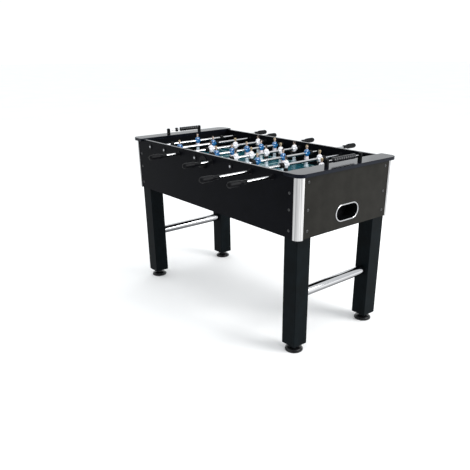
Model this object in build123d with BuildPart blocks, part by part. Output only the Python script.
from build123d import *
import os

# Foosball table: cabinet, legs, eight telescoping player rods and score counters.
#
# Millimetres. +Z is up and the floor is Z = 0. X runs along the table and Y across it, and the origin is on
# the floor under the middle of the playfield. Slides, spins and feet are all drawn at their rest places.

# ---------------------------------------------------------------- overall sizes
top_height = 889.0        # apron top above the floor
cabinet_length = 1390.0   # over the end panels
cabinet_width = 644.0     # over the side panels
cabinet_depth = 291.0     # height of the side panels
side_drop = 5.0           # side panel tops lie this far below the apron tops
corner_radius = 28.0      # upright corners of the cabinet, under the guards

# ---------------------------------------------------------------- boards
panel_t = 15.0
field_t = 12.0
field_groove = 6.0        # depth of the grooves that hold the playfield
goal_wall_t = 12.0
apron_t = 16.0
apron_depth = 100.0       # along X, from its inner to its outer edge
apron_overhang = 17.0     # past the end panel, and almost as far past the sides
apron_side_overhang = 15.0
apron_corner_r = 40.0
rod_above_field = 82.0
rod_below_top = 37.0
board_gap = 0.3           # assembly clearance between boards that slot together

# ---------------------------------------------------------------- goals and ball returns
goal_width = 200.0
goal_height = 74.0
goal_corner_r = 10.0
goal_wall_foot = 20.0     # how far the goal wall reaches below the playfield
return_length = 147.0     # clear opening of the ball return
return_height = 70.0
return_drop = 221.0       # middle of the opening below the apron top
rim_width = 7.0
rim_proud = 4.0
cup_t = 3.0
cup_inside = 52.0         # how far the cup reaches in behind the end panel
cup_gap = 0.5
serve_bowl_r = 33.0       # the bowls outside the long sides that a ball is dropped into
serve_bowl_t = 3.0
serve_bowl_drop = 49.0    # their rims below the apron top
serve_hole_r = 20.5
serve_liner_t = 2.0
serve_gap = 0.2

# ---------------------------------------------------------------- corner guards, legs and feet
guard_t = 2.0
guard_leg = 33.0
guard_below = 3.0         # the guard ends this far below the side panel
leg_size = 86.0
leg_edge_r = 3.0
foot_height = 39.0        # leg's end above the floor
foot_r = 45.0
foot_rim_h = 12.0
foot_dome_h = 20.0
foot_hub_r = 17.0
shank_r = 8.0
shank_length = 70.0
shank_clear = 0.3
nut_r = 14.0
nut_h = 9.0
brace_r = 25.0
brace_z = 298.0
brace_t = 2.0

# ---------------------------------------------------------------- rods
rod_spacing = 150.6
tube_r = 6.5
tube_t = 1.4
telescope_clear = 0.3     # between the inner rod and the tube's bore
bearing_clear = 0.1       # running fit of the tube in its bearings and bumpers
fit_clear = 0.05          # grip, players and end caps on the rods
inner_rod_reach = 60.0    # the inner rod's free end, past the table's middle
grip_length = 103.0
grip_r = 14.2
grip_neck_r = 10.6
grip_bore_depth = 88.0
bumper_length = 20.0
bumper_r = 13.5
bumper_gap = 0.5
player_half = 17.0        # half a player's width at the rod
stop_gap = 1.0            # left between bumper and bearing at the end of the travel

bearing_flange_r = 14.0
bearing_flange_t = 3.0
bearing_barrel_r = 9.5
bearing_barrel_gap = 0.2
bearing_nose = 21.0
bearing_nose_r = 10.6
bearing_tip_r = 9.0
cap_r = 5.6
cap_t = 2.0

# players on the rod, their spacing, and the bare tube between bearing and grip when the row is pushed in
ROW_TYPES = {
    "goalkeeper": (1, 0.0, 11.0),
    "defence": (2, 237.0, 34.0),
    "attack": (3, 176.0, 36.5),
    "midfield": (5, 106.0, 36.5),
}
keeper_bumper_at = 185.0  # the goalkeeper's bumpers stand apart from the player
# (row, side of its grip, place of the row's middle along Y at rest), from -X to +X
RODS = [
    ("goalkeeper", 1, 10.0),
    ("defence", 1, -100.0),
    ("attack", -1, 68.0),
    ("midfield", 1, 30.0),
    ("midfield", -1, 42.0),
    ("attack", 1, 25.0),
    ("defence", -1, 21.0),
    ("goalkeeper", -1, -7.0),
]

# ---------------------------------------------------------------- players
head_top = 45.0           # above the rod's axis
toe_reach = 76.0          # below it
head_r = 8.5
neck_r = 4.5
shoulder_w = 34.0
waist_w = 24.0
chest_d = 20.0
hip_w = 25.0
leg_block_w = 20.0
foot_w = 24.0
foot_d = 22.0

# ---------------------------------------------------------------- score counters
counter_span = 229.0      # between the posts' middles
counter_set_back = 44.0   # from the apron's inner edge to the wire
post_w = 16.0
post_d = 18.0
post_h = 34.0
wire_r = 3.0
wire_height = 23.0
bead_r = 12.0
bead_length = 14.6
bead_pitch = 15.0
bead_clear = 0.3
beads_each = 10
scored_bead_y = -55.5
waiting_beads_y = -31.0   # where the nine beads left of the far counter start
full_row_y = -75.0        # where the ten beads of the near counter start

# ---------------------------------------------------------------- screws
screw_r = 3.0
screw_head_r = 7.0
screw_head_h = 3.0
screw_length = 45.0
side_screw_drops = (261.0, 165.0, 90.0)   # below the apron top
end_screw_drops = (261.0, 165.0, 41.0)

# ---------------------------------------------------------------- worked out
panel_top = top_height - side_drop
panel_bottom = panel_top - cabinet_depth
apron_bottom = top_height - apron_t
rod_z = top_height - rod_below_top
field_z = rod_z - rod_above_field
half_length = cabinet_length / 2
half_width = cabinet_width / 2
inner_length = half_length - panel_t
inner_width = half_width - panel_t
apron_outer_x = half_length + apron_overhang
apron_inner_x = apron_outer_x - apron_depth
goal_wall_bottom = field_z - goal_wall_foot - field_t
leg_x = inner_length - leg_size / 2
leg_y = inner_width - leg_size / 2
return_z = top_height - return_drop
serve_bowl_z = top_height - serve_bowl_drop
serve_hole_z = serve_bowl_z - serve_bowl_r + serve_bowl_t + serve_hole_r
serve_liner_r = serve_hole_r + serve_liner_t
side_screw_z = [top_height - drop for drop in side_screw_drops]
end_screw_z = [top_height - drop for drop in end_screw_drops]
counter_x = apron_inner_x + counter_set_back
counter_z = top_height + wire_height
block_x = apron_inner_x + goal_wall_t
inner_rod_r = tube_r - tube_t - telescope_clear
tube_bore_r = tube_r - tube_t
made = []


def finish(piece, label):
    """Label a finished piece and remember it for export."""
    piece.part.label = label
    made.append(piece.part)


def row_half(row):
    """From a row's middle to the outer face of its bumpers."""
    count, spacing, _ = ROW_TYPES[row]
    if count == 1:
        return keeper_bumper_at + bumper_length / 2
    return (count - 1) * spacing / 2 + player_half + bumper_gap + bumper_length


def row_travel(row):
    """How far a row slides each way from the middle of the table."""
    return inner_width - bearing_flange_t - stop_gap - row_half(row)


def grip_start(row):
    """From a row's middle to the start of its grip, which stays clear of the bearing's nose."""
    bare_tube = ROW_TYPES[row][2]
    return half_width + bearing_flange_t + bearing_nose + row_travel(row) + bare_tube


def rod_x(index):
    """X of a rod, counted from 0 at the -X end."""
    return (index - (len(RODS) - 1) / 2) * rod_spacing


def end_face(end, x, z=0.0):
    """An upright plane across the table at one end, facing outwards, with its own Y pointing up."""
    return Plane((end * x, 0, z), x_dir=(0, end, 0), z_dir=(end, 0, 0))


# ---------------------------------------------------------------- cabinet
def side_panel(side, label):
    """One long side: rounded ends, a notch for each apron, a groove for the playfield, holes for rods."""
    with BuildPart() as panel:
        with BuildSketch(Plane.XY.offset(panel_bottom)):
            RectangleRounded(cabinet_length, cabinet_width, corner_radius)
            with Locations((0, side * (half_width - panel_t / 2))):
                Rectangle(cabinet_length, panel_t, mode=Mode.INTERSECT)
        extrude(amount=cabinet_depth)
        for end in (-1, 1):
            with Locations((end * apron_inner_x, side * half_width, apron_bottom)):
                Box(
                    2 * apron_depth, 3 * panel_t, cabinet_depth, mode=Mode.SUBTRACT,
                    align=(Align.MIN if end > 0 else Align.MAX, Align.CENTER, Align.MIN),
                )
        with Locations((0, side * inner_width, field_z - field_t / 2)):
            Box(
                2 * apron_inner_x, 2 * (field_groove + board_gap), field_t + 2 * board_gap,
                mode=Mode.SUBTRACT,
            )
        for index in range(len(RODS)):
            with Locations(Plane((rod_x(index), side * half_width, rod_z), z_dir=(0, 1, 0))):
                Cylinder(bearing_barrel_r + bearing_barrel_gap, 3 * panel_t, mode=Mode.SUBTRACT)
        with Locations(Plane((0, side * half_width, serve_hole_z), z_dir=(0, 1, 0))):
            Cylinder(serve_liner_r + serve_gap, 3 * panel_t, mode=Mode.SUBTRACT)
        for end in (-1, 1):
            for z in side_screw_z:
                with Locations(Plane((end * leg_x, side * half_width, z), z_dir=(0, 1, 0))):
                    Cylinder(screw_r + fit_clear, 3 * panel_t, mode=Mode.SUBTRACT)
    finish(panel, label)


def end_panel(end, label):
    """One short end, between the side panels, with the ball return cut through it."""
    with BuildPart() as panel:
        with BuildSketch(Plane.XY.offset(panel_bottom)):
            RectangleRounded(cabinet_length, cabinet_width, corner_radius)
            with Locations((end * (half_length - panel_t / 2), 0)):
                Rectangle(panel_t, 2 * inner_width, mode=Mode.INTERSECT)
        extrude(amount=apron_bottom - panel_bottom)
        with BuildSketch(end_face(end, inner_length, return_z)):
            RectangleRounded(
                return_length + 2 * (cup_t + cup_gap), return_height + 2 * (cup_t + cup_gap),
                return_height / 2,
            )
        extrude(amount=panel_t, mode=Mode.SUBTRACT)
        for side in (-1, 1):
            for z in end_screw_z:
                with Locations(Plane((end * half_length, side * leg_y, z), z_dir=(1, 0, 0))):
                    Cylinder(screw_r + fit_clear, 3 * panel_t, mode=Mode.SUBTRACT)
    finish(panel, label)


def playfield():
    """The board that the ball runs on, held in the side panels' grooves."""
    with BuildPart() as field:
        with Locations((0, 0, field_z)):
            Box(
                2 * (apron_inner_x - board_gap), 2 * (inner_width + field_groove), field_t,
                align=(Align.CENTER, Align.CENTER, Align.MAX),
            )
    finish(field, "playfield")


def goal_walls():
    """The inner end walls, each with a goal mouth that is open down to the playfield."""
    with BuildPart() as walls:
        for end in (-1, 1):
            with BuildSketch(end_face(end, apron_inner_x)):
                with Locations((0, goal_wall_bottom)):
                    Rectangle(
                        2 * inner_width, apron_bottom - goal_wall_bottom,
                        align=(Align.CENTER, Align.MIN),
                    )
                with Locations((0, field_z)):
                    Rectangle(
                        goal_width, goal_height, align=(Align.CENTER, Align.MIN), mode=Mode.SUBTRACT,
                    )
            extrude(amount=goal_wall_t)
        mouth_top = walls.edges().filter_by(Axis.X).filter_by(
            lambda edge: abs(edge.center().Z - field_z - goal_height) < 0.1
        )
        fillet(mouth_top, goal_corner_r)
    finish(walls, "goal_walls")


def corner_blocks():
    """Blocks in the four corners above the legs, which the panels and aprons are screwed to."""
    with BuildPart() as blocks:
        for end in (-1, 1):
            for side in (-1, 1):
                with Locations((end * inner_length, side * inner_width, goal_wall_bottom)):
                    Box(
                        inner_length - block_x, inner_length - block_x, apron_bottom - goal_wall_bottom,
                        align=(
                            Align.MAX if end > 0 else Align.MIN,
                            Align.MAX if side > 0 else Align.MIN,
                            Align.MIN,
                        ),
                    )
                side_at = Plane((end * leg_x, side * half_width, side_screw_z[-1]), z_dir=(0, 1, 0))
                end_at = Plane((end * half_length, side * leg_y, end_screw_z[-1]), z_dir=(1, 0, 0))
                for place in (side_at, end_at):
                    with Locations(place):
                        Cylinder(screw_r + fit_clear, 2 * screw_length, mode=Mode.SUBTRACT)
    finish(blocks, "corner_blocks")


def aprons():
    """The wide ledge over each end, with two rounded outer corners and an eased top edge."""
    with BuildPart() as board:
        with Locations((apron_inner_x, 0, apron_bottom)):
            Box(
                apron_depth, 2 * (half_width + apron_side_overhang), apron_t,
                align=(Align.MIN, Align.CENTER, Align.MIN),
            )
        fillet(board.edges().filter_by(Axis.Z).group_by(Axis.X)[-1], apron_corner_r)
        fillet(board.faces().sort_by(Axis.Z)[-1].edges(), 1.5)
    with BuildPart() as boards:
        add(board.part)
        add(board.part.rotate(Axis.Z, 180))
    finish(boards, "aprons")


def corner_guards():
    """Bright metal strips wrapped round the four upright corners."""
    with BuildPart() as guards:
        with BuildSketch(Plane.XY.offset(panel_bottom - guard_below)):
            RectangleRounded(
                cabinet_length + 2 * guard_t, cabinet_width + 2 * guard_t, corner_radius + guard_t,
            )
            RectangleRounded(cabinet_length, cabinet_width, corner_radius, mode=Mode.SUBTRACT)
            Rectangle(2 * (half_length + guard_t - guard_leg), 2 * cabinet_width, mode=Mode.SUBTRACT)
            Rectangle(2 * cabinet_length, 2 * (half_width + guard_t - guard_leg), mode=Mode.SUBTRACT)
        extrude(amount=apron_bottom - panel_bottom + guard_below)
    finish(guards, "corner_guards")


def panel_screws():
    """The heads and shanks that hold the panels to the legs and corner blocks."""
    with BuildPart() as screws:
        for end in (-1, 1):
            for side in (-1, 1):
                for z in side_screw_z:
                    with Locations(Plane((end * leg_x, side * half_width, z), z_dir=(0, side, 0))):
                        screw()
                for z in end_screw_z:
                    with Locations(Plane((end * half_length, side * leg_y, z), z_dir=(end, 0, 0))):
                        screw()
    finish(screws, "panel_screws")


def screw():
    """One round-headed screw at the current place, with its head outside."""
    with Locations((0, 0, 0)):
        Cylinder(screw_r, screw_length, align=(Align.CENTER, Align.CENTER, Align.MAX))
        Cylinder(screw_head_r, screw_head_h, align=(Align.CENTER, Align.CENTER, Align.MIN))


# ---------------------------------------------------------------- ball returns
def ball_return_rims():
    """The bright obround frames round the ball return openings."""
    with BuildPart() as rims:
        for end in (-1, 1):
            with BuildSketch(end_face(end, half_length, return_z)):
                RectangleRounded(
                    return_length + 2 * rim_width, return_height + 2 * rim_width,
                    return_height / 2 + rim_width - 0.01,
                )
                RectangleRounded(
                    return_length, return_height, return_height / 2 - 0.01, mode=Mode.SUBTRACT,
                )
            extrude(amount=rim_proud)
        front = rims.faces().filter_by(Axis.X).sort_by(lambda face: -abs(face.center().X))[0:2]
        chamfer([edge for face in front for edge in face.outer_wire().edges()], 1.5)
    finish(rims, "ball_return_rims")


def ball_return_cups():
    """Moulded cups behind the rims. Each is open above, under the goal, and open to the outside."""
    with BuildPart() as cups:
        for end in (-1, 1):
            back = inner_length - cup_inside
            with BuildSketch(end_face(end, back, return_z)):
                RectangleRounded(
                    return_length + 2 * cup_t, return_height + 2 * cup_t,
                    return_height / 2 + cup_t - 0.01,
                )
            extrude(amount=cup_inside + panel_t)
            with BuildSketch(end_face(end, back + cup_t, return_z)):
                RectangleRounded(return_length, return_height, return_height / 2 - 0.01)
            extrude(amount=cup_inside + panel_t, mode=Mode.SUBTRACT)
            with Locations((end * (back + cup_t), 0, return_z)):
                Box(
                    cup_inside - 2 * cup_t, return_length - return_height, return_height,
                    align=(Align.MIN if end > 0 else Align.MAX, Align.CENTER, Align.MIN),
                    mode=Mode.SUBTRACT,
                )
    finish(cups, "ball_return_cups")


def serve_cups():
    """A bowl in the middle of each long side, with a lined hole that its ball rolls through."""
    with BuildPart() as cup:
        with Locations((0, -half_width, serve_bowl_z)):
            Sphere(serve_bowl_r)
            Sphere(serve_bowl_r - serve_bowl_t, mode=Mode.SUBTRACT)
            Box(
                3 * serve_bowl_r, 2 * serve_bowl_r, 2 * serve_bowl_r,
                align=(Align.CENTER, Align.MAX, Align.MAX), mode=Mode.INTERSECT,
            )
        with Locations(Plane((0, -half_width, serve_bowl_z), z_dir=(0, -1, 0))):
            Cylinder(serve_bowl_r, serve_bowl_t, align=(Align.CENTER, Align.CENTER, Align.MIN))
        with Locations(Plane((0, -inner_width, serve_hole_z), z_dir=(0, -1, 0))):
            Cylinder(serve_liner_r, panel_t, align=(Align.CENTER, Align.CENTER, Align.MIN))
            Cylinder(serve_hole_r, 2 * (panel_t + serve_bowl_t + serve_gap), mode=Mode.SUBTRACT)
    with BuildPart() as cups:
        add(cup.part)
        add(cup.part.rotate(Axis.Z, 180))
    finish(cups, "serve_cups")


# ---------------------------------------------------------------- legs, braces and feet
def leg(end, side, label):
    """A square leg with eased edges, a socket for the foot and holes for the panel screws."""
    with BuildPart() as post:
        with Locations((end * leg_x, side * leg_y, foot_height)):
            Box(
                leg_size, leg_size, goal_wall_bottom - foot_height,
                align=(Align.CENTER, Align.CENTER, Align.MIN),
            )
        fillet(post.edges().filter_by(Axis.Z), leg_edge_r)
        with Locations((end * leg_x, side * leg_y, foot_height)):
            Cylinder(
                shank_r + shank_clear, shank_length + shank_clear,
                align=(Align.CENTER, Align.CENTER, Align.MIN), mode=Mode.SUBTRACT,
            )
        side_places = [
            Plane((end * leg_x, side * inner_width, z), z_dir=(0, -side, 0)) for z in side_screw_z[:2]
        ]
        end_places = [
            Plane((end * inner_length, side * leg_y, z), z_dir=(-end, 0, 0)) for z in end_screw_z[:2]
        ]
        for place in side_places + end_places:
            with Locations(place):
                Cylinder(
                    screw_r + fit_clear, screw_length - panel_t + board_gap,
                    align=(Align.CENTER, Align.CENTER, Align.MIN), mode=Mode.SUBTRACT,
                )
    finish(post, label)


def foot(end, side, label):
    """A levelling foot: wide pad, hub, lock nut and threaded shank."""
    with BuildPart() as pad:
        with BuildSketch(Plane.XZ):
            with BuildLine():
                Polyline(
                    (0, 0), (foot_r - 2, 0), (foot_r, 2), (foot_r, foot_rim_h),
                    (foot_r - 4, foot_rim_h + 3), (foot_hub_r + 3, foot_dome_h), (foot_hub_r, foot_dome_h + 3),
                    (foot_hub_r, foot_height - nut_h - 2), (nut_r, foot_height - nut_h),
                    (nut_r, foot_height), (shank_r, foot_height), (shank_r, foot_height + shank_length),
                    (0, foot_height + shank_length), (0, 0),
                )
            make_face()
        revolve(axis=Axis.Z)
    placed = Pos(end * leg_x, side * leg_y, 0) * pad.part
    placed.label = label
    made.append(placed)


def cross_braces():
    """Bright round tubes between the two legs of each end."""
    with BuildPart() as braces:
        for end in (-1, 1):
            start = Plane((end * leg_x, -(leg_y - leg_size / 2), brace_z), z_dir=(0, 1, 0))
            with BuildSketch(start):
                Circle(brace_r)
                Circle(brace_r - brace_t, mode=Mode.SUBTRACT)
            extrude(amount=2 * leg_y - leg_size)
    finish(braces, "cross_braces")


# ---------------------------------------------------------------- rods
def rod_bearings():
    """A flanged bearing in each side panel for each rod, with a nose outside on the grip's side."""
    with BuildPart() as bearings:
        for index, (_, grip_side, _) in enumerate(RODS):
            for side in (-1, 1):
                on_grip_side = side == grip_side
                bore = tube_r + bearing_clear if on_grip_side else inner_rod_r + fit_clear
                tip = half_width + bearing_flange_t
                place = Plane((rod_x(index), 0, rod_z), x_dir=(1, 0, 0), z_dir=(0, side, 0))
                outline = [
                    (bore, inner_width - bearing_flange_t),
                    (bearing_flange_r, inner_width - bearing_flange_t),
                    (bearing_flange_r, inner_width),
                    (bearing_barrel_r, inner_width),
                    (bearing_barrel_r, half_width),
                    (bearing_flange_r, half_width),
                    (bearing_flange_r, tip),
                ]
                if on_grip_side:
                    outline += [
                        (bearing_nose_r, tip),
                        (bearing_tip_r, tip + bearing_nose),
                        (bore, tip + bearing_nose),
                    ]
                else:
                    outline += [(bore, tip)]
                with BuildSketch(Plane(place.origin, x_dir=place.x_dir, z_dir=place.x_dir.cross(place.z_dir))):
                    with BuildLine():
                        Polyline(*outline, outline[0])
                    make_face()
                revolve(axis=Axis(place.origin, place.z_dir))
    finish(bearings, "rod_bearings")


def inner_rods():
    """The solid rods that the tubes telescope on, each fixed in the panel opposite its grip."""
    with BuildPart() as rods:
        for index, (_, grip_side, _) in enumerate(RODS):
            fixed_face = half_width + bearing_flange_t
            place = Plane((rod_x(index), 0, rod_z), z_dir=(0, grip_side, 0))
            with BuildSketch(place.offset(-fixed_face)):
                Circle(inner_rod_r)
            extrude(amount=fixed_face + inner_rod_reach)
            with BuildSketch(place.offset(-fixed_face)):
                Circle(cap_r)
            extrude(amount=-cap_t)
    finish(rods, "inner_rods")


def rod_plane(index, offset):
    """A plane across a rod, facing its grip, at an offset from the middle of the row."""
    row, grip_side, rest = RODS[index]
    return Plane((rod_x(index), rest, rod_z), x_dir=(1, 0, 0), z_dir=(0, grip_side, 0)).offset(offset)


def rod_tube(index):
    """The outer tube, from just inside its inner bumper to the end of the grip's bore."""
    row = RODS[index][0]
    start = -(row_half(row) - stop_gap)
    with BuildPart() as tube:
        with BuildSketch(rod_plane(index, start)):
            Circle(tube_r)
            Circle(tube_bore_r, mode=Mode.SUBTRACT)
        extrude(amount=grip_start(row) + grip_bore_depth - start)
    finish(tube, f"rod_{index + 1}_tube")


def grip(index):
    """A long grip: narrow collar and neck, then a thicker hand part with a rounded end."""
    start = rod_plane(index, grip_start(RODS[index][0]))
    bore = tube_r + fit_clear
    outline = [
        (bore, 0),
        (grip_neck_r - 1, 0),
        (grip_neck_r, 2),
        (grip_neck_r, 24),
        (grip_neck_r + 1, 30),
        (grip_r - 0.4, 40),
        (grip_r, 50),
        (grip_r, grip_length - 13),
        (grip_r - 1.5, grip_length - 6),
        (grip_r - 5, grip_length - 1.2),
        (grip_r - 8, grip_length),
        (0, grip_length),
        (0, grip_bore_depth),
        (bore, grip_bore_depth),
    ]
    with BuildPart() as handle:
        with BuildSketch(Plane(start.origin, x_dir=start.x_dir, z_dir=start.x_dir.cross(start.z_dir))):
            with BuildLine():
                Polyline(*outline, outline[0])
            make_face()
        revolve(axis=Axis(start.origin, start.z_dir))
    finish(handle, f"rod_{index + 1}_grip")


def bumpers(index):
    """Two rubber rings that stop the row at the side panels."""
    row = RODS[index][0]
    far_face = row_half(row)
    with BuildPart() as rings:
        for near in (-far_face, far_face - bumper_length):
            with BuildSketch(rod_plane(index, near)):
                Circle(bumper_r)
                Circle(tube_r + bearing_clear, mode=Mode.SUBTRACT)
            extrude(amount=bumper_length)
        rims = rings.edges().filter_by(GeomType.CIRCLE).filter_by(lambda edge: edge.radius > tube_r + 1)
        fillet(rims, 2)
    finish(rings, f"rod_{index + 1}_bumpers")


def player_figure():
    """One figure at the origin, facing +X, with the rod's axis along Y through its chest."""
    with BuildPart() as figure:
        sections = [
            (-32, hip_w, chest_d - 4),
            (-12, waist_w, chest_d - 2),
            (8, shoulder_w, chest_d),
            (17, shoulder_w - 6, chest_d - 6),
            (21, 2 * neck_r, 2 * neck_r),
        ]
        for z, width, depth in sections:
            with BuildSketch(Plane.XY.offset(z)):
                RectangleRounded(depth, width, min(depth, width) * 0.42)
        loft(ruled=True)
        with Locations((0, 0, 19)):
            Cylinder(neck_r, 12, align=(Align.CENTER, Align.CENTER, Align.MIN))
        with Locations((0, 0, head_top - head_r)):
            Sphere(head_r)
        with Locations((0, 0, -30)):
            Box(
                chest_d - 8, leg_block_w, toe_reach - 42,
                align=(Align.CENTER, Align.CENTER, Align.MAX),
            )
        with BuildSketch(Plane.XZ.offset(-foot_w / 2)):
            with Locations((0, 0)):
                Circle(toe_reach)
            with Locations((0, -62)):
                Rectangle(foot_d, 2 * toe_reach - 124, align=(Align.CENTER, Align.MAX), mode=Mode.INTERSECT)
        extrude(amount=foot_w)
        with Locations(Plane((0, 0, 0), z_dir=(0, 1, 0))):
            Cylinder(tube_r + fit_clear, 3 * shoulder_w, mode=Mode.SUBTRACT)
    return figure.part


def players(index, figure):
    """The figures of one rod. They face the side that their team attacks."""
    row, grip_side, rest = RODS[index]
    count, spacing, _ = ROW_TYPES[row]
    facing = 0 if grip_side > 0 else 180
    with BuildPart() as team:
        for number in range(count):
            y = rest + (number - (count - 1) / 2) * spacing
            with Locations(Location((rod_x(index), y, rod_z), (0, 0, facing))):
                add(figure)
    finish(team, f"rod_{index + 1}_players")


# ---------------------------------------------------------------- score counters
def score_frames():
    """Two posts with a wire between them on each apron."""
    with BuildPart() as frames:
        for end in (-1, 1):
            for side in (-1, 1):
                with Locations((end * counter_x, side * counter_span / 2, top_height)):
                    Box(post_d, post_w, post_h, align=(Align.CENTER, Align.CENTER, Align.MIN))
        fillet(frames.edges().filter_by(Axis.Z), 2.5)
        for end in (-1, 1):
            with Locations(Plane((end * counter_x, 0, counter_z), z_dir=(0, 1, 0))):
                Cylinder(wire_r, counter_span)
    finish(frames, "score_frames")


def beads(end, first_y, count, label):
    """A run of beads on one wire, from first_y towards +Y."""
    with BuildPart() as row:
        for number in range(count):
            start = Plane((end * counter_x, first_y + number * bead_pitch, counter_z), z_dir=(0, 1, 0))
            with BuildSketch(start):
                Circle(bead_r)
                Circle(wire_r + bead_clear, mode=Mode.SUBTRACT)
            extrude(amount=bead_length)
        rims = row.edges().filter_by(GeomType.CIRCLE).filter_by(lambda edge: edge.radius > wire_r + 1)
        fillet(rims, 2.5)
    finish(row, label)


# ---------------------------------------------------------------- build everything
side_panel(-1, "side_panel_front")
side_panel(1, "side_panel_back")
end_panel(-1, "end_panel_left")
end_panel(1, "end_panel_right")
playfield()
goal_walls()
corner_blocks()
aprons()
corner_guards()
panel_screws()
ball_return_rims()
ball_return_cups()
serve_cups()
for end, end_name in ((-1, "left"), (1, "right")):
    for side, side_name in ((-1, "front"), (1, "back")):
        leg(end, side, f"leg_{side_name}_{end_name}")
        foot(end, side, f"foot_{side_name}_{end_name}")
cross_braces()
rod_bearings()
inner_rods()
figure = player_figure()
for index in range(len(RODS)):
    rod_tube(index)
    grip(index)
    bumpers(index)
    players(index, figure)
score_frames()
beads(-1, scored_bead_y - bead_length / 2, 1, "score_bead_left_scored")
beads(-1, waiting_beads_y, beads_each - 1, "score_beads_left")
beads(1, full_row_y, beads_each, "score_beads_right")

os.makedirs("parts", exist_ok=True)
for part in made:
    export_step(part, f"parts/{part.label}.step")
for row in ROW_TYPES:
    print(f"{row}: slides {row_travel(row):.1f} mm each way from the middle")
print(f"{len(made)} nodes, rods at {rod_z:.1f}, playfield at {field_z:.1f}")
